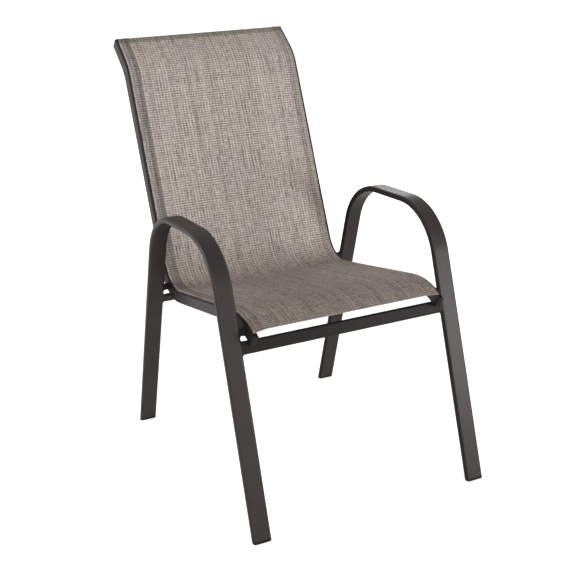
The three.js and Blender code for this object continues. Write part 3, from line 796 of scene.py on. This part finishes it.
sling = {
    "thickness": 0.8 * mm, "level": 0.7 * mm,  # of its middle, over the rail's upper face
    "loop": 3.2 * mm, "loopDepth": 5.1 * mm, "neck": 0.42 * mm, "neckDepth": 0.8 * mm, "lipBend": 0.5 * mm,
    "sideHem": 23 * mm,  # from the slot to the hem's edge on the top face
    "frontEdge": 10 * mm, "corner": 6.5 * mm, "cornerWidth": 23 * mm, "cornerLength": 34 * mm,
    "top": 1064.1717 * mm, "besideCap": 6.5 * mm,
    "frontHem": 14 * mm, "topHem": 15 * mm, "hemsApart": 3 * mm,
    "layerGap": 0.86 * mm, "foldLength": 1.4 * mm,
    # where it is drawn tighter over the bends, and by how much
    "saddle": 1.6 * mm, "topShare": 0.8, "heldEdge": 8 * mm,
    "seatMiddle": 500 * mm, "seatReach": 75 * mm, "topMiddle": 975 * mm, "topReach": 55 * mm,
    "columns": 26, "rows": 190, "loopSteps": 16,
}
hemShares = (0.12, 0.3, 0.5, 0.7, 0.85, 0.95, 1)  # of the side hem's width, where its columns are


def slingColumns():
    # half the cloth's section as points (x, height over the rail), from the middle to the hem's edge
    size = sling
    x, level, lipBend = rail["x"], size["level"], size["lipBend"]
    inner, outer = x - size["neck"], x + size["neck"]
    points = [(step / size["columns"] * (inner - 6 * mm), level) for step in range(size["columns"] + 1)]
    points += [(inner - 3 * mm, level), (inner - 1.2 * mm, level)]
    points += [(inner - lipBend + lipBend * math.sin(a), level - lipBend + lipBend * math.cos(a))
               for a in (0, math.pi / 4, math.pi / 2)]
    points += [(inner, -size["neckDepth"])]
    neck = math.asin(size["neck"] / size["loop"])
    for step in range(size["loopSteps"] + 1):  # round the rod, by the inside
        a = math.pi / 2 + neck + (2 * math.pi - 2 * neck) * step / size["loopSteps"]
        points.append((x + size["loop"] * math.cos(a), -size["loopDepth"] + size["loop"] * math.sin(a)))
    points += [(outer, -size["neckDepth"])]
    hemLevel = level + size["layerGap"]
    bend = lipBend + size["layerGap"]
    points += [(outer - bend + bend * math.cos(a), hemLevel - bend + bend * math.sin(a))
               for a in (0, math.pi / 8, math.pi / 4, math.pi * 3 / 8, math.pi / 2)]
    points += [(x - size["sideHem"] * share, hemLevel) for share in hemShares]
    return points


def clothPoint(x, height, along):
    # a point of the cloth in the row frame; across the middle it is drawn a little tighter over the bends
    y, z, heading = lineAt(along)
    free = max(0.0, 1 - (x / (rail["x"] - sling["heldEdge"])) ** 2)
    seat = math.exp(-((along - sling["seatMiddle"]) / sling["seatReach"]) ** 2)
    scroll = math.exp(-((along - sling["topMiddle"]) / sling["topReach"]) ** 2)
    height += sling["saddle"] * free * (seat - sling["topShare"] * scroll)
    return Vector((x, y - height * math.sin(heading), z + height * math.cos(heading)))


def makeSling():
    size = sling
    half = slingColumns()
    lengths = [0.0]
    for before, after in zip(half, half[1:]):
        lengths.append(lengths[-1] + math.dist(before, after))
    # columns (u, x, height) and rows v: the flat cloth, with the front fold at v = 0 and the top fold at span
    columns = [(-u, -x, h) for u, (x, h) in zip(lengths[:0:-1], half[:0:-1])]
    columns += [(u, x, h) for u, (x, h) in zip(lengths, half)]
    span = size["top"] - size["corner"]
    # the rows lie closer near the folds
    rows = [-size["frontHem"] + size["frontHem"] * step / 6 for step in range(6)]
    rows += [0.0, 2 * mm, 5 * mm, 9 * mm, 14 * mm]
    rows += [20 * mm + (span - 32 * mm) * step / size["rows"] for step in range(size["rows"] + 1)]
    rows += [span - 8 * mm, span - 5 * mm, span - 2 * mm, span]
    rows += [span + size["topHem"] * step / 5 for step in range(1, 6)]

    bm = bmesh.new()
    lastColumn, lastRow = len(columns) - 1, len(rows) - 1
    grid = bmesh.ops.create_grid(bm, x_segments=lastColumn, y_segments=lastRow, size=0.5)["verts"]
    places = {vert: (round((vert.co.x + 0.5) * lastColumn), round((vert.co.y + 0.5) * lastRow))
              for vert in grid}
    flatLayer = bm.loops.layers.uv.new("flat")
    mainWidth = rail["x"] - size["sideHem"] - size["hemsApart"]
    spare = []  # the turned hems stop short of the side hems
    for face in bm.faces:
        turned = any(not 0 <= rows[places[vert][1]] <= span for vert in face.verts)
        if turned and not all(abs(columns[places[vert][0]][0]) < mainWidth for vert in face.verts):
            spare.append(face)
        for loop in face.loops:
            column, row = places[loop.vert]
            loop[flatLayer].uv = (columns[column][0], rows[row])

    for vert, (column, row) in places.items():
        x, height = columns[column][1:]
        v = rows[row]
        inward = (rail["x"] - size["besideCap"] - abs(x)) / size["cornerWidth"]
        setBack = (size["frontEdge"] - size["corner"]) * min(1.0, max(0.0, inward))
        if v < 0:
            along = size["corner"] + setBack - v
            height -= size["layerGap"] * min(1.0, -v / size["foldLength"])
        elif v > span:
            along = size["top"] - (v - span)
            height -= size["layerGap"] * min(1.0, (v - span) / size["foldLength"])
        else:
            along = size["corner"] + v + setBack * max(0.0, 1 - v / size["cornerLength"])
            if abs(x) > rail["x"] - size["besideCap"]:
                # beside the rail's cap it stops level with the tube, with its last rows a hair apart
                along = min(along, rail["length"] + max(0.0, (along - (size["top"] - 8 * mm)) * 0.01))
        vert.co = clothPoint(x, height, along)
    bmesh.ops.delete(bm, geom=spare, context="FACES")
    for face in bm.faces:
        face.smooth = True

    mesh = bpy.data.meshes.new("sling_cloth")
    bm.to_mesh(mesh)
    bm.free()
    cloth = bpy.data.objects.new("sling_cloth", mesh)
    bpy.context.collection.objects.link(cloth)
    foldAt, hemEdge = lengths[-len(hemShares) - 1], lengths[-1]
    mesh.materials.append(wovenFabric(foldAt, hemEdge, span - size["topHem"]))
    thick = cloth.modifiers.new("thickness", "SOLIDIFY")
    thick.thickness, thick.offset, thick.use_even_offset = size["thickness"], 0, False
    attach(cloth, "root")
    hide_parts("sling")
    return cloth, 2 * hemEdge, span + size["frontHem"] + size["topHem"]


cloth, clothWidth, clothLength = makeSling()
print(f"sling cut {clothWidth:.4f} by {clothLength:.4f} m")

# stitches along the hems

stitch = {"pitch": 4.4 * mm, "length": 3.2 * mm, "thick": 0.55 * mm, "flatness": 0.84, "fromEdge": 2.6 * mm,
          "fromFront": 22 * mm, "fromTop": 4 * mm, "fromSide": 4 * mm,
          "frontHemEdge": 3 * mm, "topHemEdge": 2.5 * mm, "tilt": 0.05, "seed": 11,
          "dark": (96, 90, 86), "light": (134, 126, 118), "twistScale": 2600.0, "twistDepth": 0.05 * mm}


def stitchThread():
    finish = Finish("stitchThread")
    twist = finish.noise(finish.place(), stitch["twistScale"], 1.0)
    colour = finish.mix(twist.between(0.3, 0.7), tone(*stitch["dark"]), tone(*stitch["light"]))
    return finish.close(Base_Color=colour, Roughness=0.6, Normal=finish.bump(twist, stitch["twistDepth"]))


def stitchPlaces():
    # (x, along, height, runs across the chair) of each stitch: up both side hems, then along front and top
    seamX = rail["x"] - sling["sideHem"] + stitch["fromEdge"]
    onCloth = sling["level"] + sling["thickness"] / 2
    onHem = sling["level"] + sling["layerGap"] + sling["thickness"] / 2
    places = []
    for side in (-1, 1):
        along = stitch["fromFront"]
        while along < sling["top"] - stitch["fromTop"]:
            places.append((side * seamX, along, onHem, False))
            along += stitch["pitch"]
    reach = seamX - stitch["fromSide"]
    count = int(2 * reach / stitch["pitch"])
    for number in range(count + 1):
        x = -reach + 2 * reach * number / count
        places.append((x, sling["frontEdge"] + sling["frontHem"] - stitch["frontHemEdge"], onCloth, True))
        places.append((x, sling["top"] - sling["topHem"] + stitch["topHemEdge"], onCloth, True))
    return places


def makeStitches():
    bm, seed = bmesh.new(), bmesh.new()
    bmesh.ops.create_uvsphere(seed, u_segments=6, v_segments=5, radius=1.0)
    thick, length = stitch["thick"] / 2, stitch["length"] / 2
    shape = Matrix.Diagonal((thick, length, thick * stitch["flatness"], 1))
    wander = random.Random(stitch["seed"])
    one = bpy.data.meshes.new("stitch")
    for x, along, height, isAcross in stitchPlaces():
        heading = lineAt(along)[2]
        tilt = wander.uniform(-stitch["tilt"], stitch["tilt"])
        ahead = Vector((1, 0, 0)) if isAcross else Vector((tilt, math.cos(heading), math.sin(heading)))
        ahead.normalize()
        out = Vector((0, -math.sin(heading), math.cos(heading)))
        turned = Matrix((ahead.cross(out).normalized(), ahead, out)).transposed().to_4x4()
        placed = seed.copy()
        placed.transform(Matrix.Translation(clothPoint(x, height, along)) @ turned @ shape)
        placed.to_mesh(one)
        placed.free()
        bm.from_mesh(one)
    seed.free()
    bpy.data.meshes.remove(one)
    return keepPiece(bm, "hem_stitches", stitchThread(), weighted=False, sharp=80)


stitches = makeStitches()
print("hems stitched")

# finishes of the small fixings, which keep their own shapes

nodeFinish = {"hem_rod": rodPlastic, "spreader_plug": blackPlastic, "sling": rodPlastic, "side_frame": paint,
              "cross_tube": paint, "rail_stub": paint, "foot_cap": blackPlastic, "rail_cap": blackPlastic,
              "spreader_tube": paint}
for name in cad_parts:
    finish = next((made for word, made in nodeFinish.items() if word in name), None)
    if finish:
        for materialSlot in bpy.data.objects[name].material_slots:
            materialSlot.material = finish
print("fixings finished")

# the studio

studio = {
    "floor": 0.8, "floorSize": 14,
    "lift": (0.55, 1.0), "liftFrom": 0.9, "liftTo": 2.6,  # the floor's glow near the chair and far from it
    "ambient": 0.27,
    "lamps": [  # name, place, aim, size, watts
        ("key", (-0.7, -3.3, 1.7), (0, 0, 0.6), 2.0, 83),
        ("frontRight", (1.15, -1.7, 0.5), (0.26, -0.25, 0.3), 0.6, 22),
        ("backLeft", (-2.4, 0.7, 1.6), (-0.24, 0.2, 0.8), 1.2, 75),
        ("backRight", (2.0, 2.8, 1.3), (0.1, 0, 0.6), 1.6, 24),
        ("right", (3.2, 0.3, 1.5), (0, 0, 0.5), 2.4, 16),
    ],
}


def grey(level):
    return (level, level, level, 1)


def makeFloor():
    finish = Finish("studioFloor")
    body = finish.node("ShaderNodeBsdfDiffuse", sockets={"Color": grey(studio["floor"])})
    # the glow grows away from the chair, so that the floor runs into the white behind it
    distance = finish.node("ShaderNodeVectorMath", {"operation": "LENGTH"}, {0: finish.place()}, out=1)
    near, far = studio["lift"]
    glow = finish.mix(distance.between(studio["liftFrom"], studio["liftTo"]), grey(near), grey(far))
    glowing = finish.node("ShaderNodeEmission", sockets={"Color": glow, "Strength": finish.backdropRays()})
    both = finish.node("ShaderNodeAddShader", sockets={0: body, 1: glowing})
    finish.node("ShaderNodeOutputMaterial", sockets={"Surface": both})
    bm = bmesh.new()
    bmesh.ops.create_grid(bm, x_segments=1, y_segments=1, size=studio["floorSize"])
    mesh = bpy.data.meshes.new("studio_floor")
    bm.to_mesh(mesh)
    bm.free()
    mesh.materials.append(finish.material)
    floor = bpy.data.objects.new("studio_floor", mesh)
    bpy.context.collection.objects.link(floor)


def makeWorld():
    world = bpy.data.worlds.new("studio")
    bpy.context.scene.world = world
    world.use_nodes = True
    finish = Finish(tree=world.node_tree)
    strength = finish.backdropRays() * (1 - studio["ambient"]) + studio["ambient"]
    sky = finish.node("ShaderNodeBackground", sockets={"Color": grey(1), "Strength": strength})
    finish.node("ShaderNodeOutputWorld", sockets={"Surface": sky})


def makeLamps():
    for name, place, aim, size, watts in studio["lamps"]:
        lamp = bpy.data.objects.new(name, bpy.data.lights.new(name, "AREA"))
        lamp.data.energy, lamp.data.size = watts, size
        lamp.location = place
        lamp.rotation_euler = (Vector(aim) - Vector(place)).to_track_quat("-Z", "Y").to_euler()
        bpy.context.collection.objects.link(lamp)


makeFloor()
makeWorld()
makeLamps()
bpy.context.scene.view_settings.view_transform = "Standard"
print("studio lit")
